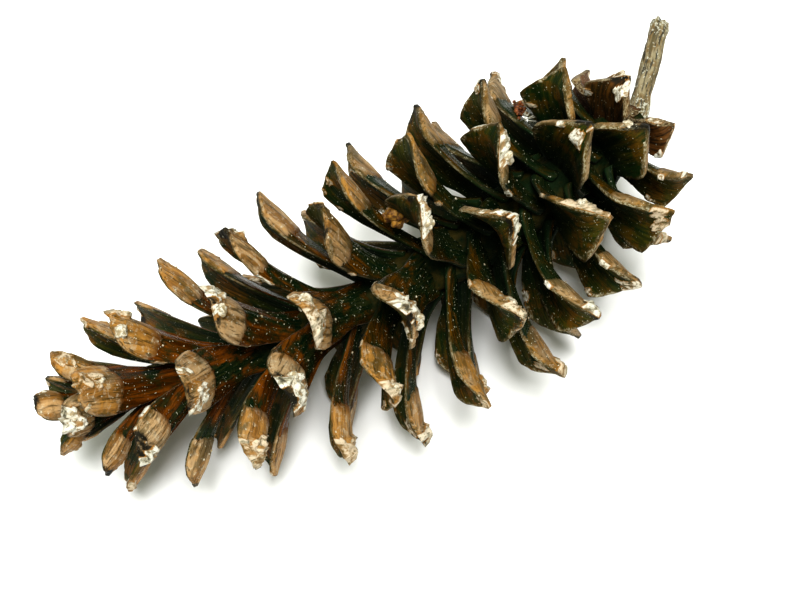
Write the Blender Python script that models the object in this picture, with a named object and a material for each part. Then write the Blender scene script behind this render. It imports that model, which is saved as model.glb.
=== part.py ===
"""A slender, open, resinous pine cone that lies on its side, with its short broken stalk.

The cone grew as one woody body: a thin bent core with cupped scales set round it on a golden-angle
spiral. The scales are folded back at the stalk, stand open along the middle and close up at the far
tip. It rests on the worn ends of its lowest scales. Metres, +Z up, +X from the far tip to the stalk.
"""

import math
import random

import bmesh
import bpy
from mathutils import Matrix, Vector

MM = 0.001

# Core: a thin spindle on an arc that bulges towards -Y
CORE_LENGTH = 122 * MM
CORE_TURN = math.radians(30)
CORE_RADII = ((0.0, 5 * MM), (0.12, 6 * MM), (0.5, 5 * MM), (0.85, 3 * MM), (1.0, 1.6 * MM))
CORE_SIDES = 10
CORE_STEPS = 12

# Scales: how many, and how the spiral runs from the stalk to the far tip
SCALE_COUNT = 82
DIVERGENCE = math.radians(-137.5)
FIRST_TURN = math.radians(320)
CROWDING = -0.38
ROOT_DEPTH = 2.2 * MM

# Each of these is read by place along the cone: 0 at the stalk, 1 at the far tip
LENGTHS = (
    (0.0, 6 * MM), (0.05, 13 * MM), (0.15, 22.5 * MM), (0.3, 26 * MM),
    (0.6, 27 * MM), (0.85, 24 * MM), (1.0, 11 * MM),
)
WIDTHS = ((0.0, 8 * MM), (0.1, 15 * MM), (0.3, 14 * MM), (0.5, 12.5 * MM), (0.85, 10 * MM), (1.0, 6 * MM))
OPENINGS = ((0.0, 106), (0.2, 80), (0.5, 64), (0.8, 46), (1.0, 26))
BENDS = ((0.0, 34), (0.3, 26), (0.7, 22), (1.0, 14))
NECKS = ((0.0, 0.75), (0.3, 0.6), (0.6, 0.45), (1.0, 0.4))
CUP_DEPTHS = ((0.0, 0.3), (0.3, 0.28), (0.6, 0.22), (1.0, 0.22))
TIP_POINTS = ((0.0, 1.0), (0.3, 0.7), (0.6, 0.2), (1.0, 0.0))
THICKNESS = 1.9 * MM
EDGE_SHARE = 0.5

# One scale along its length: share of the length, fullness of a round and of a pointed end, thickness
STATIONS = (
    (0.0, 1.0, 1.0, 1.0),
    (0.28, 1.0, 1.0, 0.9),
    (0.52, 1.0, 1.0, 0.9),
    (0.73, 1.0, 1.0, 1.05),
    (0.87, 0.94, 0.7, 1.0),
    (0.96, 0.68, 0.32, 0.85),
    (1.0, 0.3, 0.12, 0.7),
)
WIDEST = 0.75
COLUMNS = (-0.17, 0.17)

# How much one scale differs from the next
SEED = 4
LENGTH_SPREAD = 0.07
WIDTH_SPREAD = 0.08
TURN_SPREAD = math.radians(4)
OPENING_SPREAD = math.radians(4)
LEAN_SPREAD = math.radians(9)

# Stalk: a short twig that bends up and aside just past its foot, thicker there and at its broken end
STALK_LENGTH = 22.5 * MM
STALK_FOOT = 1.5 * MM
STALK_RADII = (2.6 * MM, 1.8 * MM, 1.6 * MM, 1.6 * MM, 1.7 * MM, 1.9 * MM)
STALK_BEND = math.radians(30)
STALK_RISE = math.radians(10)
JOINT_GAP = 0.3 * MM

# How the cone lies: turned about its length and pitched, with its lowest scale ends worn off flat
LIE_ROLL = math.radians(4)
LIE_PITCH = math.radians(-2)
WORN_DEPTH = 1.1 * MM

SMOOTH_ANGLE = math.radians(40)
CONE_COLOR = (0.16, 0.055, 0.022, 1.0)
STALK_COLOR = (0.33, 0.22, 0.13, 1.0)


def clear_scene():
    for old in list(bpy.data.objects):
        bpy.data.objects.remove(old, do_unlink=True)


def new_collection(name):
    collection = bpy.data.collections.new(name)
    bpy.context.scene.collection.children.link(collection)
    return collection


def new_material(name, color, roughness):
    material = bpy.data.materials.new(name)
    material.use_nodes = True
    shader = material.node_tree.nodes["Principled BSDF"]
    shader.inputs["Base Color"].default_value = color
    shader.inputs["Roughness"].default_value = roughness
    shader.inputs["Metallic"].default_value = 0.0
    return material


def new_object(name, bm, collection, material):
    """An object from a closed bmesh, turned right side out where placing its points mirrored it."""
    if bm.calc_volume(signed=True) < 0:
        bmesh.ops.reverse_faces(bm, faces=bm.faces)
    mesh = bpy.data.meshes.new(name)
    bm.to_mesh(mesh)
    bm.free()
    mesh.materials.append(material)
    obj = bpy.data.objects.new(name, mesh)
    collection.objects.link(obj)
    return obj


def evaluated_mesh(obj):
    graph = bpy.context.evaluated_depsgraph_get()
    return bpy.data.meshes.new_from_object(obj.evaluated_get(graph))


def smooth(obj):
    obj.data.shade_smooth()
    obj.data.set_sharp_from_angle(angle=SMOOTH_ANGLE)


def read_profile(profile, place):
    """Value at a place on a list of (place, value) pairs, in straight steps between them."""
    for (low, first), (high, second) in zip(profile, profile[1:]):
        if place <= high:
            return first + (second - first) * (place - low) / (high - low)
    return profile[-1][1]


def core_frame(place):
    """Point on the core's centre line, direction towards the far tip, up and sideways."""
    curve = CORE_TURN / CORE_LENGTH
    first = math.pi + CORE_TURN / 2
    heading = first - CORE_TURN * place
    x = (math.sin(first) - math.sin(heading)) / curve
    y = (math.cos(heading) - math.cos(first)) / curve
    along = Vector((math.cos(heading), math.sin(heading), 0))
    up = Vector((0, 0, 1))
    return Vector((x, y, 0)), along, up, up.cross(along)


def make_core(collection, material):
    """The core as a cylinder cut into short lengths, each ring moved to its place on the arc."""
    bm = bmesh.new()
    bmesh.ops.create_cone(
        bm, cap_ends=True, segments=CORE_SIDES, radius1=1, radius2=1, depth=1,
        matrix=Matrix.Translation((0, 0, 0.5)),
    )
    for step in range(1, CORE_STEPS):
        geom = bm.verts[:] + bm.edges[:] + bm.faces[:]
        bmesh.ops.bisect_plane(bm, geom=geom, plane_co=(0, 0, step / CORE_STEPS), plane_no=(0, 0, 1))
    for vert in bm.verts:
        point, _, up, side = core_frame(vert.co.z)
        radius = read_profile(CORE_RADII, vert.co.z)
        vert.co = point + radius * (vert.co.x * up + vert.co.y * side)
    return new_object("cone", bm, collection, material)


def blank_scale():
    """A unit box cut across at each station of a scale and lengthwise at its columns."""
    bm = bmesh.new()
    bmesh.ops.create_cube(bm, size=1, matrix=Matrix.Translation((0, 0.5, 0)))
    cuts = [((column, 0, 0), (1, 0, 0)) for column in COLUMNS]
    cuts += [((0, station[0], 0), (0, 1, 0)) for station in STATIONS[1:-1]]
    for point, normal in cuts:
        geom = bm.verts[:] + bm.edges[:] + bm.faces[:]
        bmesh.ops.bisect_plane(bm, geom=geom, plane_co=point, plane_no=normal)
    return bm


def bent_path(length, opening, bend):
    """A scale seen from its side: at each station its reach along the core, away from it, and its slope."""
    path = [(0.0, 0.0, opening - bend / 2)]
    for (last, *_), (station, *_) in zip(STATIONS, STATIONS[1:]):
        middle = opening + bend * ((station + last) / 2 - 0.5)
        ahead, away, _ = path[-1]
        step = length * (station - last)
        slope = opening + bend * (station - 0.5)
        path.append((ahead + step * math.cos(middle), away + step * math.sin(middle), slope))
    return path


def half_widths(place, width):
    """Half the width of a scale at each station: a neck that widens, then a round or pointed end."""
    neck = read_profile(NECKS, place)
    point = read_profile(TIP_POINTS, place)
    widths = []
    for station, round_end, pointed_end, _ in STATIONS:
        share = min(1.0, station / WIDEST)
        fan = neck + (1 - neck) * share * share * (3 - 2 * share)
        widths.append(width / 2 * fan * (round_end + (pointed_end - round_end) * point))
    return widths


def make_scale(index, rng, collection, material):
    """One cupped scale, its root sunk in the core and its outer face towards the stalk."""
    share = (index + 0.5) / SCALE_COUNT
    place = share + CROWDING * share * (1 - share)
    turn = FIRST_TURN + DIVERGENCE * index + rng.uniform(-1, 1) * TURN_SPREAD
    length = read_profile(LENGTHS, place) * (1 + rng.uniform(-1, 1) * LENGTH_SPREAD)
    width = read_profile(WIDTHS, place) * (1 + rng.uniform(-1, 1) * WIDTH_SPREAD)
    opening = math.radians(read_profile(OPENINGS, place)) + rng.uniform(-1, 1) * OPENING_SPREAD
    bend = math.radians(read_profile(BENDS, place))
    lean = rng.uniform(-1, 1) * LEAN_SPREAD

    point, along, up, side = core_frame(place)
    out = math.cos(turn) * up + math.sin(turn) * side
    across = along.cross(out)
    root = point + out * (read_profile(CORE_RADII, place) - ROOT_DEPTH)
    path = bent_path(length + ROOT_DEPTH, opening, bend)
    halves = half_widths(place, width)
    cupped = read_profile(CUP_DEPTHS, place)

    bm = blank_scale()
    for vert in bm.verts:
        number = min(range(len(STATIONS)), key=lambda known: abs(STATIONS[known][0] - vert.co.y))
        station, _, _, thick = STATIONS[number]
        ahead, away, slope = path[number]
        half = halves[number]
        inner = math.sin(slope) * along - math.cos(slope) * out
        flat = math.cos(lean * station) * across + math.sin(lean * station) * inner
        face = math.cos(lean * station) * inner - math.sin(lean * station) * across
        edge = abs(vert.co.x) * 2
        cup = cupped * 2 * half * edge**2 * math.sqrt(station)
        height = THICKNESS * thick * (1 - (1 - EDGE_SHARE) * edge**2) * vert.co.z
        sideways = vert.co.x * 2 * half
        vert.co = root + ahead * along + away * out + sideways * flat + (height + cup) * face
    return new_object(f"scale_{index:03d}", bm, collection, material)


def join_scales(cone, scales):
    """Joins the scales and the core into one body, as they grew."""
    join = cone.modifiers.new("join_scales", "BOOLEAN")
    join.operation = "UNION"
    join.operand_type = "COLLECTION"
    join.collection = scales
    join.solver = "MANIFOLD"
    mesh = evaluated_mesh(cone)
    cone.modifiers.remove(join)
    cone.data = mesh
    for scale in list(scales.objects):
        bpy.data.objects.remove(scale, do_unlink=True)
    bpy.data.collections.remove(scales)


def make_stalk(collection, material):
    """The stalk as a short tapered tube: square on the core's end at its foot, then bent up and aside."""
    here, along, up, _ = core_frame(0)
    here = here - along * JOINT_GAP
    leaving = Matrix.Rotation(STALK_BEND, 3, "Z") @ -along + math.tan(STALK_RISE) * up
    leaving.normalize()
    curve = bpy.data.curves.new("stalk_line", "CURVE")
    curve.dimensions = "3D"
    curve.bevel_depth = 1.0
    curve.bevel_resolution = 2
    curve.use_fill_caps = True
    spline = curve.splines.new("POLY")
    last = len(STALK_RADII) - 1
    spline.points.add(last)
    for number, radius in enumerate(STALK_RADII):
        spline.points[number].co = (*here, 1)
        spline.points[number].radius = radius
        if number == 0:
            here = here - along * STALK_FOOT
        else:
            here = here + leaving * (STALK_LENGTH - STALK_FOOT) / (last - 1)
    line = bpy.data.objects.new("stalk_line", curve)
    collection.objects.link(line)
    mesh = evaluated_mesh(line)
    bpy.data.objects.remove(line, do_unlink=True)
    bm = bmesh.new()
    bm.from_mesh(mesh)
    bmesh.ops.remove_doubles(bm, verts=bm.verts, dist=0.01 * MM)
    return new_object("stalk", bm, collection, material)


def lay_down(objects):
    """Turns the cone to the way it lies, over the origin, its lowest scale ends sunk by what is worn off."""
    turn = Matrix.Rotation(LIE_PITCH, 4, "Y") @ Matrix.Rotation(LIE_ROLL, 4, "X")
    for obj in objects:
        obj.data.transform(turn)
    points = [vert.co for obj in objects for vert in obj.data.vertices]
    low = [min(point[axis] for point in points) for axis in range(3)]
    high = [max(point[axis] for point in points) for axis in range(3)]
    shift = Vector((-(low[0] + high[0]) / 2, -(low[1] + high[1]) / 2, -low[2] - WORN_DEPTH))
    for obj in objects:
        obj.data.transform(Matrix.Translation(shift))


def wear_flat(cone, cutters):
    """Cuts the lowest scale ends off flat, level with the ground."""
    size = 2 * CORE_LENGTH
    bm = bmesh.new()
    bmesh.ops.create_cube(bm, size=size, matrix=Matrix.Translation((0, 0, -size / 2)))
    mesh = bpy.data.meshes.new("ground")
    bm.to_mesh(mesh)
    bm.free()
    ground = bpy.data.objects.new("ground", mesh)
    cutters.objects.link(ground)
    ground.hide_render = True
    ground.display_type = "WIRE"
    wear = cone.modifiers.new("worn_ends", "BOOLEAN")
    wear.operation = "DIFFERENCE"
    wear.object = ground
    wear.solver = "MANIFOLD"


def main():
    clear_scene()
    parts = new_collection("pine_cone")
    scales = new_collection("scales")
    cutters = new_collection("cutters")
    cone_wood = new_material("cone_wood", CONE_COLOR, 0.45)
    stalk_bark = new_material("stalk_bark", STALK_COLOR, 0.8)
    rng = random.Random(SEED)
    cone = make_core(parts, cone_wood)
    for index in range(SCALE_COUNT):
        make_scale(index, rng, scales, cone_wood)
    join_scales(cone, scales)
    stalk = make_stalk(parts, stalk_bark)
    smooth(cone)
    smooth(stalk)
    lay_down([cone, stalk])
    wear_flat(cone, cutters)


main()
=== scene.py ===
# A slender, open, resin-crusted pine cone that lies on its side, with its short broken stalk.
# Metres, +Z up, +X from the far tip of the cone to its stalk.

import math
import random
from types import SimpleNamespace

import bmesh
import bpy
from mathutils import Matrix, Vector, noise


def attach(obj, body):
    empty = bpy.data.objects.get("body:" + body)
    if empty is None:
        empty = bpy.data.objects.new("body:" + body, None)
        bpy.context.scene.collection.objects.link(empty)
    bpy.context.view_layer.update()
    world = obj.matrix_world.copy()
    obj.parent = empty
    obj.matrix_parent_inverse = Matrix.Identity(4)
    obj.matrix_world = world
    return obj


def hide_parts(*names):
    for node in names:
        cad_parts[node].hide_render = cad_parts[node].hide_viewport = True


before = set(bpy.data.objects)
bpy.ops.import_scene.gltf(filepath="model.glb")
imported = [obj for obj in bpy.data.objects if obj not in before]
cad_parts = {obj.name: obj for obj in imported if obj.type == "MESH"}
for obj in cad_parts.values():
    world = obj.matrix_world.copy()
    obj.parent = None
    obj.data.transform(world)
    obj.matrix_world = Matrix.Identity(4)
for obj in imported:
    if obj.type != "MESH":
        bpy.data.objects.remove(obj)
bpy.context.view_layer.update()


# The core is the cone's woody axis: a thin, slightly bent spindle, rough with the stubs of its scales.
# It carries every scale, and little of it shows between them.
MM = 0.001
CORE_LENGTH = 122 * MM
CORE_TURN = math.radians(30)
CORE_RADII = ((0.0, 5 * MM), (0.12, 6 * MM), (0.5, 5 * MM), (0.85, 3 * MM), (1.0, 1.6 * MM))
CORE_SIDES = 36
CORE_STEPS = 60
CORE_ROUGHNESS = 1.0 * MM
CORE_LUMPS = 2 * MM
CORE_PATCHES = 4 * MM
CORE_GRAIN = 0.6 * MM
CORE_GREEN = (0.004, 0.012, 0.002)
CORE_BROWN = (0.034, 0.026, 0.004)
CORE_FOOT = Vector((57.69, 7.83, 29.94)) * MM
LIE = Matrix.Rotation(math.radians(-2), 3, "Y") @ Matrix.Rotation(math.radians(4), 3, "X")


def read_profile(profile, place):
    """Value at a place on a list of (place, value) pairs, in straight steps between them."""
    for (low, first), (high, second) in zip(profile, profile[1:]):
        if place <= high:
            return first + (second - first) * (place - low) / (high - low)
    return profile[-1][1]


def core_frame(place):
    """Point on the core's centre line, direction towards the far tip, up and sideways."""
    curve = CORE_TURN / CORE_LENGTH
    first = math.pi + CORE_TURN / 2
    heading = first - CORE_TURN * place
    x = (math.sin(first) - math.sin(heading)) / curve
    y = (math.cos(heading) - math.cos(first)) / curve
    along = LIE @ Vector((math.cos(heading), math.sin(heading), 0))
    up = LIE @ Vector((0, 0, 1))
    return CORE_FOOT + LIE @ Vector((x, y, 0)), along, up, up.cross(along)


def new_node(tree, kind, inputs=None, **settings):
    """A shader node with its settings, and its inputs: each a value or another node's output."""
    made = tree.nodes.new("ShaderNode" + kind)
    for key, value in settings.items():
        setattr(made, key, value)
    for socket, value in (inputs or {}).items():
        if isinstance(value, bpy.types.NodeSocket):
            tree.links.new(value, made.inputs[socket])
        else:
            made.inputs[socket].default_value = value
    return made


def cloud(tree, vector, size, detail=3.0, roughness=0.6):
    """Even noise from 0 to 1, with lumps of about this size in metres."""
    inputs = {"Vector": vector, "Scale": 1 / size, "Detail": detail, "Roughness": roughness}
    return new_node(tree, "TexNoise", inputs).outputs["Fac"]


def stretched(tree, vector, factors):
    """A vector with its parts multiplied, to draw a pattern out in one direction."""
    return new_node(tree, "VectorMath", {0: vector, 1: factors}, operation="MULTIPLY").outputs[0]


def sums(tree, operation, first, second=0.0, third=0.0, **settings):
    """The result of one sum on two or three values."""
    inputs = {0: first, 1: second, 2: third}
    return new_node(tree, "Math", inputs, operation=operation, **settings).outputs[0]


def step_up(tree, value, low, high):
    """0 below low, 1 above high, and a smooth rise between them."""
    inputs = {"Value": value, "From Min": low, "From Max": high}
    return new_node(tree, "MapRange", inputs, interpolation_type="SMOOTHSTEP").outputs["Result"]


def mixed(tree, share, first, second):
    """One colour laid over another by a share from 0 to 1."""
    made = new_node(tree, "Mix", data_type="RGBA")
    for socket, value in ((0, share), (6, first), (7, second)):
        if isinstance(value, bpy.types.NodeSocket):
            tree.links.new(value, made.inputs[socket])
        else:
            made.inputs[socket].default_value = (*value, 1) if isinstance(value, tuple) else value
    return made.outputs[2]


def bumped(tree, height, distance, strength=1.0, normal=None):
    """The surface's direction, tilted as if the height stood out this far."""
    inputs = {"Height": height, "Distance": distance, "Strength": strength}
    if normal:
        inputs["Normal"] = normal
    return new_node(tree, "Bump", inputs).outputs["Normal"]


def new_finish(name, roughness=0.5):
    """An empty material: its tree and its one shader."""
    material = bpy.data.materials.new(name)
    material.use_nodes = True
    shader = material.node_tree.nodes["Principled BSDF"]
    shader.inputs["Roughness"].default_value = roughness
    return material, material.node_tree, shader


def new_piece(name, bm, material, slot, *replaced):
    """A finished piece from a bmesh: smooth, in place, riding on the cone."""
    mesh = bpy.data.meshes.new(name)
    bm.to_mesh(mesh)
    bm.free()
    mesh.materials.append(material)
    mesh.shade_smooth()
    piece = bpy.data.objects.new(name, mesh)
    bpy.context.scene.collection.objects.link(piece)
    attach(piece, "root")
    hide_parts(*replaced)
    return piece


def core_finish():
    """Dark, dry inner wood with a green-black cast."""
    material, tree, shader = new_finish("core_wood", 0.7)
    spot = new_node(tree, "TexCoord").outputs["Object"]
    patches = step_up(tree, cloud(tree, spot, CORE_PATCHES), 0.4, 0.65)
    tree.links.new(mixed(tree, patches, CORE_GREEN, CORE_BROWN), shader.inputs["Base Color"])
    tree.links.new(bumped(tree, cloud(tree, spot, CORE_GRAIN), 0.5 * MM), shader.inputs["Normal"])
    shader.inputs["Specular IOR Level"].default_value = 0.1
    return material


def upright_rod(sides, steps):
    """A rod of radius 1 that stands 1 high from the origin, cut across into short lengths."""
    bm = bmesh.new()
    bmesh.ops.create_cone(
        bm, cap_ends=True, segments=sides, radius1=1, radius2=1, depth=1,
        matrix=Matrix.Translation((0, 0, 0.5)),
    )
    for cut in range(1, steps):
        geom = bm.verts[:] + bm.edges[:] + bm.faces[:]
        bmesh.ops.bisect_plane(bm, geom=geom, plane_co=(0, 0, cut / steps), plane_no=(0, 0, 1))
    return bm


def make_core():
    """A rod with each of its rings moved to its place on the arc and roughened."""
    bm = upright_rod(CORE_SIDES, CORE_STEPS)
    for vert in bm.verts:
        point, _, up, side = core_frame(vert.co.z)
        out = vert.co.x * up + vert.co.y * side
        radius = read_profile(CORE_RADII, vert.co.z)
        rough = noise.noise((point + out * radius) / CORE_LUMPS) * CORE_ROUGHNESS
        vert.co = point + out * (radius + rough)
    bmesh.ops.recalc_face_normals(bm, faces=bm.faces)
    return new_piece("core", bm, core_finish(), "cone_wood", "cone")


make_core()


# The scales are thin cupped blades of wood that grew out of the core on a golden-angle spiral.
# Each has a narrow neck and an oval or pointed end. The outer face is red-brown and varnished with resin,
# with a tan shield over its last third; the inner face is a dark hollow where two winged seeds lay.
SCALE_COUNT = 82
DIVERGENCE = math.radians(-137.5)
FIRST_TURN = math.radians(320)
CROWDING = -0.38
ROOT_DEPTH = 2.2 * MM
LENGTHS = (
    (0.0, 6 * MM), (0.05, 13 * MM), (0.15, 22.5 * MM), (0.3, 26 * MM),
    (0.6, 27 * MM), (0.85, 24 * MM), (1.0, 11 * MM),
)
WIDTHS = (
    (0.0, 8 * MM), (0.1, 15 * MM), (0.3, 14 * MM), (0.5, 12.5 * MM), (0.85, 10 * MM), (1.0, 6 * MM),
)
OPENINGS = ((0.0, 106), (0.2, 80), (0.5, 64), (0.8, 46), (1.0, 26))
BENDS = ((0.0, 34), (0.3, 26), (0.7, 22), (1.0, 14))
NECKS = ((0.0, 0.75), (0.3, 0.6), (0.6, 0.45), (1.0, 0.4))
CUP_DEPTHS = ((0.0, 0.3), (0.3, 0.28), (0.6, 0.22), (1.0, 0.22))
TIP_POINTS = ((0.0, 1.0), (0.3, 0.7), (0.6, 0.2), (1.0, 0.0))
THICKNESSES = ((0.0, 1.6), (0.12, 1.1), (0.28, 0.9), (0.52, 0.9), (0.73, 1.05), (0.87, 1.0), (1.0, 0.7))
THICKNESS = 1.9 * MM
EDGE_SHARE = 0.4
FOOT_EDGE_SHARE = 0.7
ROOT_FLARE = 1.3 * MM
TIP_CURL = 1.6 * MM
WIDEST = 0.75
SHOULDER = 0.73
SEED = 4
LENGTH_SPREAD = 0.07
WIDTH_SPREAD = 0.08
TURN_SPREAD = math.radians(4)
OPENING_SPREAD = math.radians(4)
LEAN_SPREAD = math.radians(9)
CELLS_ACROSS = 30
CELLS_ALONG = 62
RIM_ROUNDING = 0.22 * MM
SHIELD_START = 0.61
SHIELD_RISE = 0.3 * MM
SHIELD_SWELLING = 0.45 * MM
BROAD_RIDGES = 0.3 * MM
FINE_RIDGES = 0.16 * MM
INNER_RIPPLE = 0.2 * MM
SEED_HOLLOW = 0.35 * MM
SCALE_BANDS = {
    "foot_scales": (0, 21), "open_scales": (21, 42), "middle_scales": (42, 62), "tip_scales": (62, 82),
}

# Crusts of dried resin. The thick ones lie on a scale's outer face: scale, then across, along and radius
CRUST_SEED = 11
RIM_CRUST_DEPTH = 0.35 * MM
THICK_CRUST_DEPTH = 1.0 * MM
THICK_CRUSTS = {
    23: (0.3, 0.92, 2.6 * MM), 26: (-0.4, 0.9, 2.8 * MM), 28: (0.1, 0.92, 2.2 * MM),
    31: (0.0, 0.9, 3.2 * MM), 33: (0.0, 0.93, 2.4 * MM), 36: (0.0, 0.9, 3.2 * MM),
    39: (-0.2, 0.9, 3.0 * MM), 41: (-0.2, 0.82, 2.2 * MM), 44: (0.1, 0.88, 4.2 * MM),
    46: (0.2, 0.94, 2.4 * MM), 49: (0.2, 0.93, 2.6 * MM), 52: (-0.3, 0.95, 3.6 * MM),
    54: (0.0, 0.92, 2.4 * MM), 55: (0.3, 0.9, 2.4 * MM), 57: (-0.2, 0.86, 3.8 * MM),
    60: (0.4, 0.96, 2.6 * MM), 62: (0.2, 0.9, 2.6 * MM), 65: (-0.4, 0.88, 2.6 * MM),
    68: (0.5, 0.95, 2.8 * MM), 70: (0.0, 0.94, 2.0 * MM), 73: (0.3, 0.9, 2.4 * MM),
    78: (0.0, 0.92, 2.2 * MM),
}

# Sizes of the wood's marks, and how far they are drawn out along a scale
STREAK_SIZE = 0.42 * MM
BAND_SIZE = 1.5 * MM
STAIN_SIZE = 3.2 * MM
PATCH_SIZE = 4.5 * MM
LUMP_SIZE = 1.1 * MM
SPECK_SIZE = 0.45 * MM
DROP_AND_GLINT_SIZE = 0.32 * MM
LENGTHWISE = (1, 0.085, 1)
HALF_LENGTHWISE = (1, 0.4, 1)

# The marks of one scale are drawn this far from those of the next, so that no two scales look alike
SCALE_APART = 37 * MM

# Outer face: varnish at the stalk end and at the tip end of the cone, then its stains, which also carry
# painted shade towards each scale's root
VARNISH_DEEP = ((0.026, 0.019, 0.001), (0.044, 0.013, 0.000))
VARNISH_BRIGHT = ((0.100, 0.045, 0.002), (0.220, 0.062, 0.004))
VARNISH_STREAK = (0.015, 0.011, 0.001)
STAIN_AND_SHADE_BLACK = (0.004, 0.014, 0.004)
STAIN_SHEEN = (0.022, 0.028, 0.008)
TIP_BLACK = (0.012, 0.010, 0.005)

# Shield: its ground on the tannest and the pinkest scale, then what lies on it
SHIELD_GROUND = ((0.41, 0.200, 0.042), (0.47, 0.300, 0.145))
SHIELD_BAND = (0.230, 0.108, 0.024)
SHIELD_BORDER = (0.150, 0.058, 0.012)
SHIELD_GREY = (0.38, 0.32, 0.21)
SHIELD_FILM = (0.56, 0.48, 0.34)
SHIELD_SMUDGE = (0.052, 0.042, 0.012)
SHIELD_STROKE = (0.045, 0.026, 0.004)
SHIELD_OLIVE = (0.070, 0.052, 0.010)

# Inner face: its ground, its glow at the stalk end and at the tip end of the cone, its shade and its rim
INNER_GROUND = ((0.006, 0.021, 0.002), (0.055, 0.052, 0.004))
INNER_GLOW = ((0.095, 0.048, 0.003), (0.17, 0.070, 0.005))
INNER_STREAK = (0.009, 0.016, 0.001)
INNER_SHADE = (0.002, 0.015, 0.003)
RIM_DARK = (0.055, 0.036, 0.008)
RIM_SPECKS = ((0.12, 0.075, 0.018), (0.38, 0.34, 0.22))

# The dry scales at the stalk's foot: their faces, then their worn rims
DRY_FACE = ((0.120, 0.042, 0.010), (0.030, 0.010, 0.003))
DRY_RIM = ((0.060, 0.030, 0.010), (0.26, 0.20, 0.11))

# Dried resin: its high lumps, its low parts (tan, with grey painted shade), its pits (painted shade), its
# thin edge and its drops (also painted glints)
CRUST_HIGH = ((0.62, 0.50, 0.35), (0.74, 0.71, 0.60))
CRUST_LOW_TAN_AND_SHADE = ((0.30, 0.19, 0.085), (0.32, 0.29, 0.20))
CRUST_PIT_SHADE = (0.17, 0.145, 0.075)
CRUST_AMBER = (0.28, 0.125, 0.020)
DROP_AND_GLINT_WHITE = (0.62, 0.60, 0.46)

# How dull each is, as a grey
VARNISH_DULLNESS = (0.26, 0.26, 0.26)
SHIELD_DULLNESS = (0.5, 0.5, 0.5)
INNER_DULLNESS = (0.65, 0.65, 0.65)
CRUST_DULLNESS = (0.6, 0.6, 0.6)


def grow_scales():
    """Every scale's sizes and directions, by the rule and the random draws that its solid follows too."""
    rng = random.Random(SEED)
    scales = []
    for index in range(SCALE_COUNT):
        share = (index + 0.5) / SCALE_COUNT
        place = share + CROWDING * share * (1 - share)
        turn = FIRST_TURN + DIVERGENCE * index + rng.uniform(-1, 1) * TURN_SPREAD
        length = read_profile(LENGTHS, place) * (1 + rng.uniform(-1, 1) * LENGTH_SPREAD)
        width = read_profile(WIDTHS, place) * (1 + rng.uniform(-1, 1) * WIDTH_SPREAD)
        opening = math.radians(read_profile(OPENINGS, place)) + rng.uniform(-1, 1) * OPENING_SPREAD
        lean = rng.uniform(-1, 1) * LEAN_SPREAD
        point, along, up, side = core_frame(place)
        out = math.cos(turn) * up + math.sin(turn) * side
        scales.append(SimpleNamespace(
            index=index, place=place, length=length + ROOT_DEPTH, width=width, opening=opening, lean=lean,
            bend=math.radians(read_profile(BENDS, place)), neck=read_profile(NECKS, place),
            cupped=read_profile(CUP_DEPTHS, place), point=read_profile(TIP_POINTS, place),
            along=along, out=out, across=along.cross(out),
            root=point + out * (read_profile(CORE_RADII, place) - ROOT_DEPTH),
        ))
    return scales


def smooth_rise(value):
    """0 below 0, 1 above 1, and a smooth rise between them."""
    value = min(1.0, max(0.0, value))
    return value * value * (3 - 2 * value)


def scale_reach(scale, across):
    """How far along its length a scale reaches on this line: a round or a pointed end."""
    edge = min(1.0, abs(across))
    round_end = 1 - math.sqrt(max(0.0, 1 - edge**3.2))
    pointed_end = edge**0.9
    return 1 - (1 - SHOULDER) * (round_end + (pointed_end - round_end) * scale.point)


def scale_half_width(scale, along):
    """Half a scale's width here: flared at its root, narrow at its neck and widest at its shoulder."""
    fan = scale.neck + (1 - scale.neck) * smooth_rise(along / WIDEST)
    return scale.width / 2 * fan + ROOT_FLARE * (1 - smooth_rise(along / 0.3))


def scale_rim(across, tipward):
    """0 in the middle of a scale and 1 at its rim."""
    end = max(0.0, (tipward - 0.7) / 0.3)
    return 1 - (1 - across * across) * (1 - end * end)


def scale_place(scale, across, tipward, side, relief=0.0):
    """A point on a scale: across -1 to 1, tipward 0 to 1, side 1 on its inner and -1 on its outer face."""
    along = tipward * scale_reach(scale, across)
    half = scale_half_width(scale, along)
    start = scale.opening - scale.bend / 2
    slope = start + scale.bend * along
    radius = scale.length / scale.bend
    ahead = radius * (math.sin(slope) - math.sin(start))
    away = radius * (math.cos(start) - math.cos(slope))
    inner = math.sin(slope) * scale.along - math.cos(slope) * scale.out
    lean = scale.lean * along
    flat = math.cos(lean) * scale.across + math.sin(lean) * inner
    face = math.cos(lean) * inner - math.sin(lean) * scale.across
    rim = scale_rim(across, tipward)
    cup = scale.cupped * 2 * half * abs(across) ** 1.6 * math.sqrt(along)
    edge_share = FOOT_EDGE_SHARE + (EDGE_SHARE - FOOT_EDGE_SHARE) * smooth_rise(scale.place / 0.6)
    thick = THICKNESS * read_profile(THICKNESSES, along) * (1 - (1 - edge_share) * rim)
    curl = TIP_CURL * scale.point * smooth_rise((along - 0.78) / 0.22) ** 2
    height = cup - curl + side * (thick / 2 + relief)
    return scale.root + ahead * scale.along + away * scale.out + across * half * flat + height * face


def outer_relief(scale, across, along, character):
    """Raised or sunk detail of the outer face: the shield, its swelling, and ridges that run to the tip."""
    start = SHIELD_START + 0.05 * (character - 0.5) + 0.05 * across * across
    start += 0.02 * noise.noise((across * 2, scale.index, 0))
    shield = smooth_rise((along - start) / 0.03)
    swelling = SHIELD_SWELLING * math.exp(-(((along - 0.82) / 0.12) ** 2)) * (1 - across * across)
    ridges = noise.noise((across * 4, along * 1.4, scale.index * 3.7)) * BROAD_RIDGES
    ridges += noise.noise((across * 11, along * 2.5, scale.index * 5.3)) * FINE_RIDGES
    return shield * SHIELD_RISE + swelling + ridges * (1 - 0.5 * shield)


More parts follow.
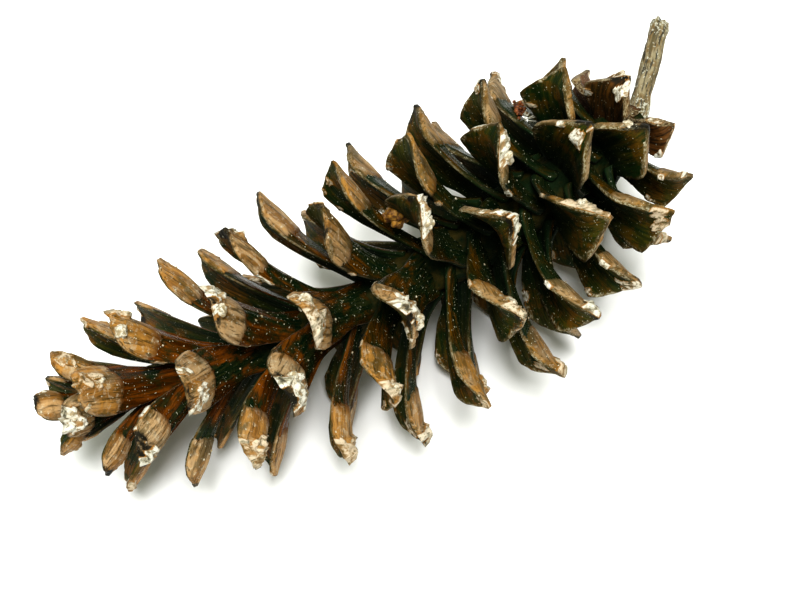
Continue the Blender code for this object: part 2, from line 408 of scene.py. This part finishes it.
def inner_relief(scale, across, along):
    """The two long seed hollows of the inner face, with a low rib between them."""
    hollow = math.exp(-(((abs(across) - 0.45) / 0.27) ** 2)) * math.sin(math.pi * min(1.0, along / 0.72))
    ripple = noise.noise((across * 7, along * 2, scale.index * 2.9)) * INNER_RIPPLE
    return ripple - hollow * SEED_HOLLOW


def crust_on(scale, across, along, side):
    """How thick the dried resin lies here, and how fully it covers the wood."""
    cover, thick = 0.0, 0.0
    for spot_across, spot_along, spot_side, radius, depth in scale.spots:
        if spot_side * side < 0:
            continue
        aside = (across - spot_across) * scale_half_width(scale, spot_along)
        ahead = (along - spot_along) * scale.length
        reach = math.hypot(aside, ahead) / radius
        if reach > 1.8:
            continue
        place = Vector((aside, ahead, scale.index * 1.7 * MM)) / MM
        outline = 0.8 * noise.noise(place / 1.5) + 0.2 * noise.noise(place / 0.6)
        here = smooth_rise((1 - reach + outline) / 0.2)
        lumps = 0.75 + 1.1 * noise.noise(place / 1.2) + 0.3 * noise.noise(place * 1.6)
        cover = max(cover, here)
        thick = max(thick, here * depth * max(0.2, lumps))
    return cover, thick


def blank_scale():
    """A flat tongue of two sheets joined by a rounded wall: x across, y towards the tip, z through it."""
    bm = bmesh.new()
    bmesh.ops.create_grid(bm, x_segments=CELLS_ACROSS, y_segments=CELLS_ALONG, size=1)
    second = bmesh.ops.extrude_face_region(bm, geom=bm.faces[:])["geom"]
    lifted = [item for item in second if isinstance(item, bmesh.types.BMVert)]
    bmesh.ops.translate(bm, verts=lifted, vec=(0, 0, 1))
    walls = [edge for edge in bm.edges if abs(edge.verts[0].co.z - edge.verts[1].co.z) > 0.5]
    bmesh.ops.subdivide_edges(bm, edges=walls, cuts=1)
    blank = bpy.data.meshes.new("blank_scale")
    bm.to_mesh(blank)
    bm.free()
    return blank


def body_color(tree, where):
    """Outer face below the shield: red-brown varnish, stained green-black in its middle, with green-black
    painted shade towards its root.
    """
    toward_tip = step_up(tree, where.place, 0.3, 0.8)
    deep = mixed(tree, toward_tip, *VARNISH_DEEP)
    bright = mixed(tree, toward_tip, *VARNISH_BRIGHT)
    red = mixed(tree, step_up(tree, where.bands, 0.38, 0.66), deep, bright)
    streaks = sums(tree, "MULTIPLY", step_up(tree, where.streaks, 0.47, 0.63), 0.75)
    red = mixed(tree, streaks, red, VARNISH_STREAK)
    shine = step_up(tree, where.streaks, 0.40, 0.64)
    black = mixed(tree, shine, STAIN_AND_SHADE_BLACK, STAIN_SHEEN)
    across = sums(tree, "MULTIPLY", where.across, where.across)
    middle = sums(tree, "MULTIPLY_ADD", across, -0.16, where.stains)
    toward_foot = sums(tree, "MULTIPLY_ADD", where.place, -0.27, 0.30)
    # Darker towards each scale's root: painted shade where the scales overlap, on top of a real stain that
    # deepens towards the stalk end
    foot_stain_and_root_shade = sums(tree, "MULTIPLY_ADD", where.along, -0.20, toward_foot)
    stain_and_shade = step_up(tree, sums(tree, "ADD", middle, foot_stain_and_root_shade), 0.42, 0.60)
    collar = step_up(tree, where.along, 0.44, 0.58)
    collar = sums(tree, "MULTIPLY", collar, step_up(tree, where.stains, 0.42, 0.58))
    return mixed(tree, sums(tree, "MAXIMUM", stain_and_shade, collar), red, black)


def shield_color(tree, where):
    """Tan to pinkish shield, with dark strokes and smudges and a thin pale film of resin in patches."""
    tan = mixed(tree, step_up(tree, where.tone, 0.2, 0.8), *SHIELD_GROUND)
    tan = mixed(tree, step_up(tree, where.bands, 0.44, 0.62), tan, SHIELD_BAND)
    tan = mixed(tree, step_up(tree, where.along, 0.72, 0.62), tan, SHIELD_BORDER)
    grey = sums(tree, "MULTIPLY", step_up(tree, where.patches, 0.48, 0.60), 0.28)
    tan = mixed(tree, grey, tan, SHIELD_GREY)
    film = sums(tree, "MULTIPLY", step_up(tree, where.lumps, 0.52, 0.64), 0.40)
    tan = mixed(tree, film, tan, SHIELD_FILM)
    smudges = sums(tree, "MULTIPLY", step_up(tree, where.stains, 0.51, 0.62), 0.7)
    tan = mixed(tree, smudges, tan, SHIELD_SMUDGE)
    strokes = sums(tree, "MULTIPLY", step_up(tree, where.streaks, 0.52, 0.64), 0.8)
    tan = mixed(tree, strokes, tan, SHIELD_STROKE)
    darker = sums(tree, "MULTIPLY", step_up(tree, where.place, 0.6, 0.2), 0.35)
    return mixed(tree, darker, tan, SHIELD_OLIVE)


def inner_color(tree, where):
    """Inner face: green-black at the root, glowing orange-brown towards the end, with a mottled pale rim."""
    olive = mixed(tree, step_up(tree, where.bands, 0.4, 0.62), *INNER_GROUND)
    outward = step_up(tree, where.along, 0.2, 0.75)
    glow = sums(tree, "MULTIPLY", step_up(tree, where.patches, 0.45, 0.60), outward)
    brown = mixed(tree, step_up(tree, where.place, 0.1, 0.6), *INNER_GLOW)
    olive = mixed(tree, glow, olive, brown)
    streaks = sums(tree, "MULTIPLY", step_up(tree, where.streaks, 0.46, 0.60), 0.75)
    olive = mixed(tree, streaks, olive, INNER_STREAK)
    shade = sums(tree, "MULTIPLY", step_up(tree, where.along, 0.65, 0.2), 0.85)
    olive = mixed(tree, shade, olive, INNER_SHADE)
    pale = mixed(tree, step_up(tree, where.specks, 0.42, 0.60), *RIM_SPECKS)
    pale = mixed(tree, step_up(tree, where.patches, 0.42, 0.56), RIM_DARK, pale)
    rim = sums(tree, "MULTIPLY_ADD", sums(tree, "SUBTRACT", where.lumps, 0.5), 0.5, where.rim)
    rim = sums(tree, "MULTIPLY", step_up(tree, rim, 0.86, 0.97), step_up(tree, where.along, 0.3, 0.6))
    rim = sums(tree, "MULTIPLY", rim, sums(tree, "SUBTRACT", 1.15, where.place), use_clamp=True)
    return mixed(tree, rim, olive, pale)


def resin_color(tree, where):
    """Dried resin: white to pinkish cream on its lumps, tan with grey painted shade between them, painted
    shade in its pits, amber where thin.
    """
    cream = mixed(tree, step_up(tree, where.tone, 0.3, 0.7), *CRUST_HIGH)
    # Grey between the lumps and dark in the pits is painted shade; the tan is wood showing through
    low = mixed(tree, step_up(tree, where.patches, 0.44, 0.58), *CRUST_LOW_TAN_AND_SHADE)
    white = mixed(tree, step_up(tree, where.lumps, 0.42, 0.56), low, cream)
    white = mixed(tree, step_up(tree, where.specks, 0.58, 0.68), white, CRUST_PIT_SHADE)
    return mixed(tree, step_up(tree, where.crust, 0.55, 0.85), CRUST_AMBER, white)


def grain_of(tree):
    """The place across and along the wood, as the mesh carries it."""
    return new_node(tree, "Attribute", attribute_name="grain").outputs["Vector"]


def read_places(tree):
    """What the shader reads off the mesh, and the noises drawn over it."""
    where = SimpleNamespace()
    grain = grain_of(tree)
    for name, parts in (("spot", ("across", "along", "side")), ("nature", ("tone", "place", "crust"))):
        vector = new_node(tree, "Attribute", attribute_name=name).outputs["Vector"]
        outputs = new_node(tree, "SeparateXYZ", {0: vector}).outputs
        for part, output in zip(parts, outputs):
            setattr(where, part, output)
    where.rim = new_node(tree, "Attribute", attribute_name="rim").outputs["Fac"]
    lengthwise = stretched(tree, grain, LENGTHWISE)
    where.streaks = cloud(tree, lengthwise, STREAK_SIZE, 4.0)
    where.stains = cloud(tree, stretched(tree, grain, HALF_LENGTHWISE), STAIN_SIZE, 5.0, 0.65)
    where.bands = cloud(tree, lengthwise, BAND_SIZE, 3.0)
    where.patches = cloud(tree, grain, PATCH_SIZE, 5.0, 0.65)
    where.lumps = cloud(tree, grain, LUMP_SIZE, 4.0)
    where.specks = cloud(tree, grain, SPECK_SIZE, 2.0)
    # Fine dots for dried drops of resin, which also serve as painted glints
    where.droplets = cloud(tree, grain, DROP_AND_GLINT_SIZE, 0.0)
    return where


def scale_finish():
    """Wood that is red-brown and glossy outside, olive inside and tan on its shield, with resin over it."""
    material, tree, shader = new_finish("scale_wood")
    where = read_places(tree)

    # The shield begins at an oval line a third of the way back from the tip
    edge = sums(tree, "MULTIPLY_ADD", sums(tree, "SUBTRACT", where.tone, 0.5), 0.05, SHIELD_START)
    edge = sums(tree, "MULTIPLY_ADD", sums(tree, "MULTIPLY", where.across, where.across), 0.05, edge)
    edge = sums(tree, "MULTIPLY_ADD", sums(tree, "SUBTRACT", where.lumps, 0.5), 0.10, edge)
    on_shield = step_up(tree, sums(tree, "SUBTRACT", where.along, edge), 0.0, 0.02)
    outer = mixed(tree, on_shield, body_color(tree, where), shield_color(tree, where))
    inside = step_up(tree, where.side, -0.4, 0.4)
    wood = mixed(tree, inside, outer, inner_color(tree, where))

    # The first small scales about the stalk are dry and dark brown
    foot = sums(tree, "MULTIPLY", step_up(tree, where.place, 0.07, 0.03), 0.8)
    dry = mixed(tree, step_up(tree, where.streaks, 0.42, 0.6), *DRY_FACE)
    worn = mixed(tree, step_up(tree, where.specks, 0.42, 0.58), *DRY_RIM)
    wood = mixed(tree, foot, wood, mixed(tree, step_up(tree, where.rim, 0.93, 0.99), dry, worn))

    # Tips weather black at their very edge
    tip = sums(tree, "MULTIPLY_ADD", sums(tree, "SUBTRACT", where.patches, 0.5), 0.5, where.along)
    black = sums(tree, "MULTIPLY", step_up(tree, tip, 0.92, 1.0), step_up(tree, where.tone, 0.2, 0.4))
    black = sums(tree, "MULTIPLY", black, step_up(tree, where.rim, 0.2, 0.5))
    wood = mixed(tree, black, wood, TIP_BLACK)

    # Tiny pale dots lie scattered over the varnish: dried drops of resin that are also painted glints
    drop_and_glint_dots = step_up(tree, where.droplets, 0.74, 0.80)
    drop_and_glint_dots = sums(tree, "MULTIPLY", drop_and_glint_dots, step_up(tree, where.lumps, 0.48, 0.56))
    wood = mixed(tree, drop_and_glint_dots, wood, DROP_AND_GLINT_WHITE)

    # The crust is ragged at its edge, and the wood shows through its holes
    ragged = sums(tree, "MULTIPLY_ADD", sums(tree, "SUBTRACT", where.specks, 0.5), 0.8, where.crust)
    holes = sums(tree, "MULTIPLY", step_up(tree, where.lumps, 0.46, 0.36), 0.8)
    covered = sums(tree, "SUBTRACT", step_up(tree, ragged, 0.4, 0.55), holes, use_clamp=True)
    tree.links.new(mixed(tree, covered, wood, resin_color(tree, where)), shader.inputs["Base Color"])

    # The varnished body shines most, and a bump follows the streaks and specks
    dullness = mixed(tree, on_shield, VARNISH_DULLNESS, SHIELD_DULLNESS)
    dullness = mixed(tree, inside, dullness, INNER_DULLNESS)
    dullness = mixed(tree, covered, dullness, CRUST_DULLNESS)
    tree.links.new(dullness, shader.inputs["Roughness"])
    normal = bumped(tree, where.streaks, 0.4 * MM, 0.9)
    normal = bumped(tree, where.specks, 0.22 * MM, 0.8, normal)
    tree.links.new(normal, shader.inputs["Normal"])
    shader.inputs["Specular IOR Level"].default_value = 0.12
    return material


def crust_spots(scale, rng):
    """Where resin dried on a scale: at its tip and rim, and thickly on a few that are listed."""
    spots = []
    for _ in range(rng.choice((1, 1, 2, 3))):
        across = rng.uniform(-0.9, 0.9)
        side = rng.choice((-1, -1, 1))
        radius = rng.uniform(0.7, 2.3) * MM
        spots.append((across, rng.uniform(0.84, 1.0), side, radius, rng.uniform(0.2, 0.6) * MM))
    for _ in range(rng.choice((0, 1, 1, 2))):
        edge = rng.choice((-0.96, 0.96))
        spots.append((edge, rng.uniform(0.5, 0.95), 1, rng.uniform(0.6, 1.3) * MM, RIM_CRUST_DEPTH))
    if scale.index in THICK_CRUSTS:
        across, along, radius = THICK_CRUSTS[scale.index]
        spots.append((across, along, -1, radius, THICK_CRUST_DEPTH))
    return spots


def make_scales(name, scales, blank, material):
    """A band of scales in one mesh, each a copy of the blank with its points moved to the scale."""
    bm = bmesh.new()
    bm.from_mesh(blank)
    layers = SimpleNamespace(
        grain=bm.verts.layers.float_vector.new("grain"), spot=bm.verts.layers.float_vector.new("spot"),
        nature=bm.verts.layers.float_vector.new("nature"), rim=bm.verts.layers.float.new("rim"),
    )
    for number, scale in enumerate(scales):
        start = len(bm.verts) if number else 0
        if number:
            bm.from_mesh(blank)
        bm.verts.ensure_lookup_table()
        for vert in bm.verts[start:]:
            shape_vert(scale, vert, layers)
    return new_piece(name, bm, material, "cone_wood", "cone")


def shape_vert(scale, vert, layers):
    """Moves one point of a blank to its place on the scale, and notes on it what the finish reads."""
    across, tipward, side = vert.co.x, (vert.co.y + 1) / 2, 1 - 2 * vert.co.z
    along = tipward * scale_reach(scale, across)
    relief = 0.0
    if side < -0.5:
        relief = outer_relief(scale, across, along, scale.tone)
    elif side > 0.5:
        relief = inner_relief(scale, across, along)
    cover, thick = crust_on(scale, across, along, side)
    ragged = 1 + 0.04 * noise.noise((along * 9, across * 3, scale.index * 2.1))
    chips = 0.025 * smooth_rise((along - 0.7) / 0.3) * noise.noise((across * 4, 0, scale.index))
    place = scale_place(scale, across * ragged, tipward * (1 + chips), side, relief + thick)
    if abs(side) < 0.5:
        centre = scale_place(scale, across * 0.8, tipward * 0.97, side)
        place += (place - centre).normalized() * (RIM_ROUNDING + thick)
    place.z = max(place.z, 0.0)
    vert.co = place
    through = scale.index * SCALE_APART + side * THICKNESS / 2
    vert[layers.grain] = (across * scale_half_width(scale, along), along * scale.length, through)
    vert[layers.spot] = (across, along, side)
    vert[layers.nature] = (scale.tone, scale.place, cover)
    vert[layers.rim] = scale_rim(across, tipward)


scales = grow_scales()
resin_rng = random.Random(CRUST_SEED)
for scale in scales:
    scale.tone = resin_rng.random()
    scale.spots = crust_spots(scale, resin_rng)
blank = blank_scale()
scale_wood = scale_finish()
for name, (first, last) in SCALE_BANDS.items():
    make_scales(name, scales[first:last], blank, scale_wood)
bpy.data.meshes.remove(blank)


# The resin ran out of the scales while they grew and dried on them: round white knobs that hang at some
# tips and edges, and hundreds of fine pale drops over the outer faces.

# Knobs: on which scale, then across, along and radius
KNOB_PLACES = (
    (26, -0.6, 0.93, 1.5 * MM), (23, 0.5, 0.95, 1.2 * MM), (36, 0.2, 0.9, 1.3 * MM),
    (39, -0.5, 0.95, 1.4 * MM), (44, -0.3, 0.86, 1.7 * MM), (52, 0.4, 0.92, 1.5 * MM),
    (57, 0.3, 0.9, 1.4 * MM), (60, -0.3, 0.95, 1.2 * MM), (63, 0.6, 0.95, 1.1 * MM),
    (68, -0.5, 0.96, 1.3 * MM), (73, 0.2, 0.8, 0.9 * MM), (78, 0.3, 0.92, 1.2 * MM),
    (31, -0.2, 0.9, 1.5 * MM), (49, 0.1, 0.95, 1.2 * MM), (54, -0.2, 0.97, 1.1 * MM),
    (10, 0.4, 0.97, 1.0 * MM), (0, 0.0, 0.9, 0.9 * MM), (1, 0.3, 0.85, 0.8 * MM),
    (2, -0.3, 0.9, 0.9 * MM), (3, 0.2, 0.9, 0.7 * MM), (5, -0.1, 0.93, 0.8 * MM),
    (4, 0.4, 0.9, 0.8 * MM),
)
KNOB_LIFT = 0.35
KNOB_ROUNDNESS = 4
DROP_SEED = 5
DROP_COUNT = 750
DROP_RADII = (0.06 * MM, 0.3 * MM)
DROP_ROUNDNESS = 1
FIRST_DROPPED_ON = 8
RESIN_MOTTLES = 0.8 * MM
RESIN_PITS = 0.4 * MM
RESIN_GRAIN = 0.3 * MM
RESIN_TAN = (0.34, 0.26, 0.14)
RESIN_CREAM = (0.72, 0.66, 0.52)
RESIN_PIT_SHADE = (0.20, 0.18, 0.12)


def resin_finish():
    """Dull white resin with cream mottling and grey painted shade in its pits."""
    material, tree, shader = new_finish("dry_resin", 0.4)
    spot = new_node(tree, "TexCoord").outputs["Object"]
    mottled = step_up(tree, cloud(tree, spot, RESIN_MOTTLES), 0.42, 0.56)
    color = mixed(tree, mottled, RESIN_TAN, RESIN_CREAM)
    # Grey in the pits is painted shade
    pit_shade = step_up(tree, cloud(tree, spot, RESIN_PITS, 2.0), 0.56, 0.66)
    color = mixed(tree, pit_shade, color, RESIN_PIT_SHADE)
    tree.links.new(color, shader.inputs["Base Color"])
    tree.links.new(bumped(tree, cloud(tree, spot, RESIN_GRAIN), 0.2 * MM), shader.inputs["Normal"])
    return material


def add_lump(bm, place, radius, roundness):
    """A lumpy ball about this place."""
    seat = Matrix.Translation(place)
    ball = bmesh.ops.create_icosphere(bm, subdivisions=roundness, radius=radius, matrix=seat)["verts"]
    for vert in ball:
        out = (vert.co - place) / radius
        rough = 0.35 * noise.noise(place / MM + out * 1.3) + 0.2 * noise.noise(place / MM + out * 3.1)
        vert.co = place + out * radius * (1 + rough)
        vert.co.z = max(vert.co.z, 0.0)


def make_resin():
    """Knobs at the listed places, then drops on scales drawn at random, mostly down the middle of each."""
    rng = random.Random(DROP_SEED)
    bm = bmesh.new()
    for index, across, along, radius in KNOB_PLACES:
        seat = scale_place(scales[index], across, along, -1, radius * KNOB_LIFT)
        add_lump(bm, seat, radius, KNOB_ROUNDNESS)
    for _ in range(DROP_COUNT):
        scale = rng.choice(scales[FIRST_DROPPED_ON:])
        across = max(-0.95, min(0.95, rng.gauss(0, 0.35)))
        along = rng.uniform(0.2, 0.98)
        radius = DROP_RADII[0] + (DROP_RADII[1] - DROP_RADII[0]) * rng.random() ** 3
        relief = outer_relief(scale, across, along * scale_reach(scale, across), scale.tone)
        add_lump(bm, scale_place(scale, across, along, -1, relief), radius, DROP_ROUNDNESS)
    return new_piece("resin", bm, resin_finish(), "cone_wood", "cone")


make_resin()


# Two bits of plant litter are caught between the scales of the upper side: a lumpy amber bud husk, and a
# crumbly brown clump with a few stiff pale hairs. They lie wedged where they fell.
HUSK_SCALE = 39
HUSK_SEED = 3
HUSK_GRAINS = 9
HUSK_RADII = (0.8 * MM, 1.4 * MM)
HUSK_COLORS = ((0.12, 0.045, 0.006), (0.42, 0.21, 0.03))
CLUMP_SCALE = 16
CLUMP_SEED = 8
CLUMP_GRAINS = 26
CLUMP_RADII = (0.35 * MM, 0.6 * MM)
CLUMP_COLORS = ((0.05, 0.012, 0.003), (0.26, 0.075, 0.012))
HAIR_SEED = 2
HAIR_COUNT = 7
HAIR_LENGTH = 2.6 * MM
HAIR_RADIUS = 0.07 * MM
HAIR_SIDES = 6
HAIR_COLORS = ((0.45, 0.43, 0.33), (0.7, 0.68, 0.55))
LITTER_MOTTLES = 0.9 * MM
LITTER_GRAIN = 0.3 * MM


def litter_finish(name, dark, light):
    """A half-dull, rough skin mottled in two colours."""
    material, tree, shader = new_finish(name, 0.45)
    spot = new_node(tree, "TexCoord").outputs["Object"]
    mottled = step_up(tree, cloud(tree, spot, LITTER_MOTTLES), 0.4, 0.6)
    tree.links.new(mixed(tree, mottled, dark, light), shader.inputs["Base Color"])
    tree.links.new(bumped(tree, cloud(tree, spot, LITTER_GRAIN), 0.2 * MM), shader.inputs["Normal"])
    return material


def make_husk():
    """Amber lumps wedged beside one scale's tip."""
    rng = random.Random(HUSK_SEED)
    bm = bmesh.new()
    for _ in range(HUSK_GRAINS):
        across, along = rng.uniform(0.6, 1.2), rng.uniform(0.62, 0.8)
        lift = rng.uniform(-0.4, 1.6) * MM
        seat = scale_place(scales[HUSK_SCALE], across, along, 1, lift)
        add_lump(bm, seat, rng.uniform(*HUSK_RADII), 3)
    return new_piece("husk", bm, litter_finish("amber_husk", *HUSK_COLORS), "cone_wood", "cone")


def make_clump():
    """Small brown grains heaped on a scale's edge."""
    rng = random.Random(CLUMP_SEED)
    bm = bmesh.new()
    for _ in range(CLUMP_GRAINS):
        across, along = rng.gauss(-0.6, 0.15), rng.gauss(0.62, 0.035)
        lift = abs(rng.gauss(0, 1)) * MM
        seat = scale_place(scales[CLUMP_SCALE], across, along, -1, lift)
        add_lump(bm, seat, rng.uniform(*CLUMP_RADII), 2)
    return new_piece("clump", bm, litter_finish("brown_clump", *CLUMP_COLORS), "cone_wood", "cone")


def make_hairs():
    """Stiff pale hairs that fan out of the clump."""
    rng = random.Random(HAIR_SEED)
    bm = bmesh.new()
    foot = scale_place(scales[CLUMP_SCALE], -0.75, 0.52, -1)
    for _ in range(HAIR_COUNT):
        toward = Vector((rng.uniform(0.2, 1), rng.uniform(-0.8, 0.4), rng.uniform(0.1, 0.8))).normalized()
        turn = toward.to_track_quat("Z", "Y").to_matrix().to_4x4()
        middle = Matrix.Translation(foot + toward * HAIR_LENGTH / 2)
        bmesh.ops.create_cone(
            bm, cap_ends=True, segments=HAIR_SIDES, radius1=HAIR_RADIUS, radius2=HAIR_RADIUS / 2,
            depth=HAIR_LENGTH, matrix=middle @ turn,
        )
    return new_piece("hairs", bm, litter_finish("pale_hair", *HAIR_COLORS), "cone_wood", "cone")


make_husk()
make_clump()
make_hairs()


# The stalk is the short woody twig that the cone hung by, broken off at its end.
# It is wrinkled lengthwise as it dried, and leaves the core at an angle.
STALK_LENGTH = 22.5 * MM
STALK_BEND = math.radians(30)
STALK_RISE = math.radians(10)
STALK_KINK = 3 * MM
STALK_RADII = (
    (0.0, 2.7 * MM), (0.1, 2.2 * MM), (0.25, 1.8 * MM), (0.5, 2.0 * MM), (0.8, 1.8 * MM),
    (0.88, 2.0 * MM), (1.0, 1.95 * MM),
)
STALK_GAP = 0.3 * MM
STALK_SIDES = 48
STALK_STEPS = 90
STALK_WEAR = 1.1 * MM
BARK_FURROWS = 0.6 * MM
BARK_STREAKS = 1.6 * MM
BARK_PATCHES = 2.5 * MM
BARK_FLECKS = 0.7 * MM
BARK_LENGTHWISE = (1, 0.14, 1)
BARK_TAN = (0.17, 0.110, 0.036)
BARK_PINK = (0.25, 0.205, 0.110)
BARK_BROWN = (0.095, 0.070, 0.022)
BARK_DARK = (0.030, 0.024, 0.009)
BARK_WHITE = (0.44, 0.43, 0.34)


def stalk_line():
    """Points down the middle of the stalk, with the direction at each: straight off the core, then bent."""
    here, along, up, _ = core_frame(0)
    straight = -along
    level_up = Vector((0, 0, 1))
    leaving = Matrix.Rotation(STALK_BEND, 3, level_up) @ straight + math.tan(STALK_RISE) * up
    leaving.normalize()
    here = here + straight * STALK_GAP
    line = []
    for number in range(STALK_STEPS + 1):
        turned = smooth_rise(number / STALK_STEPS * STALK_LENGTH / STALK_KINK)
        heading = (straight * (1 - turned) + leaving * turned).normalized()
        line.append((here, heading))
        here = here + heading * STALK_LENGTH / STALK_STEPS
    return line


def stalk_finish():
    """Dull tan to pinkish-grey bark with dark furrows, greyer and flecked with white at both ends."""
    material, tree, shader = new_finish("stalk_bark", 0.6)
    grain = grain_of(tree)
    ends = new_node(tree, "Attribute", attribute_name="rim").outputs["Fac"]
    lengthwise = stretched(tree, grain, BARK_LENGTHWISE)
    furrows = cloud(tree, lengthwise, BARK_FURROWS, 4.0)
    streaks = cloud(tree, lengthwise, BARK_STREAKS, 3.0)
    patches = cloud(tree, grain, BARK_PATCHES, 4.0)
    bark = mixed(tree, step_up(tree, patches, 0.42, 0.56), BARK_TAN, BARK_PINK)
    bark = mixed(tree, step_up(tree, streaks, 0.48, 0.62), bark, BARK_BROWN)
    bark = mixed(tree, step_up(tree, furrows, 0.50, 0.60), bark, BARK_DARK)
    flecks = sums(tree, "MULTIPLY_ADD", ends, 0.10, cloud(tree, grain, BARK_FLECKS, 3.0))
    bark = mixed(tree, step_up(tree, flecks, 0.60, 0.66), bark, BARK_WHITE)
    tree.links.new(bark, shader.inputs["Base Color"])
    tree.links.new(bumped(tree, furrows, 0.5 * MM, 1.0), shader.inputs["Normal"])
    return material


def stalk_place(share, angle, line):
    """A point of the stalk's skin: wrinkled lengthwise, knobbly and worn back unevenly at its broken end."""
    here, heading = line[round(share * STALK_STEPS)]
    aside = heading.cross(Vector((0, 0, 1))).normalized()
    up = aside.cross(heading)
    around = Vector((math.cos(angle), math.sin(angle), 0))
    wrinkle = noise.noise((around.x * 2.6, around.y * 2.6, share * 4)) * 0.14
    wrinkle += noise.noise((around.x * 6, around.y * 6, share * 9 + 5)) * 0.12
    head = smooth_rise((share - 0.8) / 0.1)
    wrinkle += noise.noise((around.x * 2, around.y * 2, share * 14 + 11)) * 0.16 * head
    worn = smooth_rise((share - 0.88) / 0.12)
    back = worn * (0.6 + noise.noise((around.x * 1.5, around.y * 1.5, 3))) * STALK_WEAR
    radius = read_profile(STALK_RADII, share) * (1 + wrinkle) * (1 - 0.12 * worn)
    return here + (around.x * aside + around.y * up) * radius - heading * back


def make_stalk():
    """A rod swept along the stalk's line, with a sunk broken end."""
    line = stalk_line()
    bm = upright_rod(STALK_SIDES, STALK_STEPS)
    end = next(face for face in bm.faces if face.normal.z > 0.9)
    for thickness, depth in ((0.2, -0.002), (0.2, -0.02), (0.25, -0.02)):
        bmesh.ops.inset_region(bm, faces=[end], thickness=thickness, depth=depth)
    grain = bm.verts.layers.float_vector.new("grain")
    ends = bm.verts.layers.float.new("rim")
    for vert in bm.verts:
        share, angle = vert.co.z, math.atan2(vert.co.y, vert.co.x)
        inward = min(1.0, math.hypot(vert.co.x, vert.co.y))
        radius = read_profile(STALK_RADII, share)
        skin = stalk_place(share, angle, line)
        middle = line[round(share * STALK_STEPS)][0]
        vert.co = middle + (skin - middle) * inward
        vert[grain] = (angle * radius, share * STALK_LENGTH, 0)
        vert[ends] = max(smooth_rise((share - 0.8) / 0.15), smooth_rise((0.22 - share) / 0.12))
    return new_piece("twig", bm, stalk_finish(), "stalk_bark", "stalk")


make_stalk()


# The floor is a plain pale table top that the cone lies on. One soft light shines from overhead and a
# little to the near side, a broad one fills the shadows, and all round is a dim glow.
FLOOR_SIZE = 12.0
FLOOR_CLOUDS = 0.2
FLOOR_COLORS = ((0.90, 0.90, 0.895), (0.93, 0.93, 0.925))
VIEW_ELEVATION = math.radians(65)
VIEW_TURN = math.radians(30)
VIEW_DISTANCE = 344 * MM
VIEW_AIM = Vector((-3.13, -1.45, 25.53)) * MM
LENS = 78.9
SENSOR = 36
KEY_TOWARD = (-0.06, -0.12, 0.93)
KEY_SPREAD = math.radians(21)
KEY_STRENGTH = 3.65
KEY_COLOR = (1, 1, 1)
FILL_TOWARD = (0, 0, 1)
FILL_SPREAD = math.radians(68)
FILL_STRENGTH = 1.25
FILL_COLOR = (0.95, 1.0, 0.86)
SURROUND_STRENGTH = 0.15
SURROUND_COLOR = (0.93, 1.0, 0.84)


def floor_finish():
    """Dull white paint, clouded very faintly."""
    material, tree, shader = new_finish("table_white", 0.9)
    spot = new_node(tree, "TexCoord").outputs["Object"]
    color = mixed(tree, cloud(tree, spot, FLOOR_CLOUDS), *FLOOR_COLORS)
    tree.links.new(color, shader.inputs["Base Color"])
    shader.inputs["Specular IOR Level"].default_value = 0.1
    return material


def make_floor():
    """One flat square, as wide as a room."""
    bm = bmesh.new()
    bmesh.ops.create_grid(bm, x_segments=1, y_segments=1, size=FLOOR_SIZE / 2)
    mesh = bpy.data.meshes.new("table")
    bm.to_mesh(mesh)
    bm.free()
    mesh.materials.append(floor_finish())
    table = bpy.data.objects.new("table", mesh)
    bpy.context.scene.collection.objects.link(table)


def make_camera():
    """The photograph's view: from above and to the stalk's left, the cone's tip at the lower left."""
    right = Vector((math.cos(VIEW_TURN), -math.sin(VIEW_TURN), 0))
    level = Vector((math.sin(VIEW_TURN), math.cos(VIEW_TURN), 0))
    back = Vector((0, 0, math.sin(VIEW_ELEVATION))) - level * math.cos(VIEW_ELEVATION)
    up = back.cross(right)
    camera = bpy.data.objects.new("camera", bpy.data.cameras.new("camera"))
    bpy.context.scene.collection.objects.link(camera)
    turn = Matrix((right, up, back)).transposed().to_4x4()
    camera.matrix_world = Matrix.Translation(VIEW_AIM + back * VIEW_DISTANCE) @ turn
    camera.data.sensor_width = SENSOR
    camera.data.lens = LENS
    camera.data.clip_start = 0.01
    bpy.context.scene.camera = camera


def make_light(name, toward, spread, strength, color):
    """A distant soft light in this direction from the cone: the wider its spread, the softer its shadows."""
    lamp = bpy.data.lights.new(name, "SUN")
    lamp.color = color
    lamp.angle = spread
    lamp.energy = strength
    light = bpy.data.objects.new(name, lamp)
    light.rotation_euler = Vector(toward).to_track_quat("Z", "Y").to_euler()
    bpy.context.scene.collection.objects.link(light)


def make_surround():
    """A dim, even, faintly green glow from all round."""
    world = bpy.data.worlds.new("surround")
    world.use_nodes = True
    background = world.node_tree.nodes["Background"]
    background.inputs["Color"].default_value = (*SURROUND_COLOR, 1)
    background.inputs["Strength"].default_value = SURROUND_STRENGTH
    bpy.context.scene.world = world


make_floor()
make_camera()
make_light("key", KEY_TOWARD, KEY_SPREAD, KEY_STRENGTH, KEY_COLOR)
make_light("fill", FILL_TOWARD, FILL_SPREAD, FILL_STRENGTH, FILL_COLOR)
make_surround()
bpy.context.scene.view_settings.view_transform = "Standard"
bpy.context.scene.view_settings.look = "Medium High Contrast"
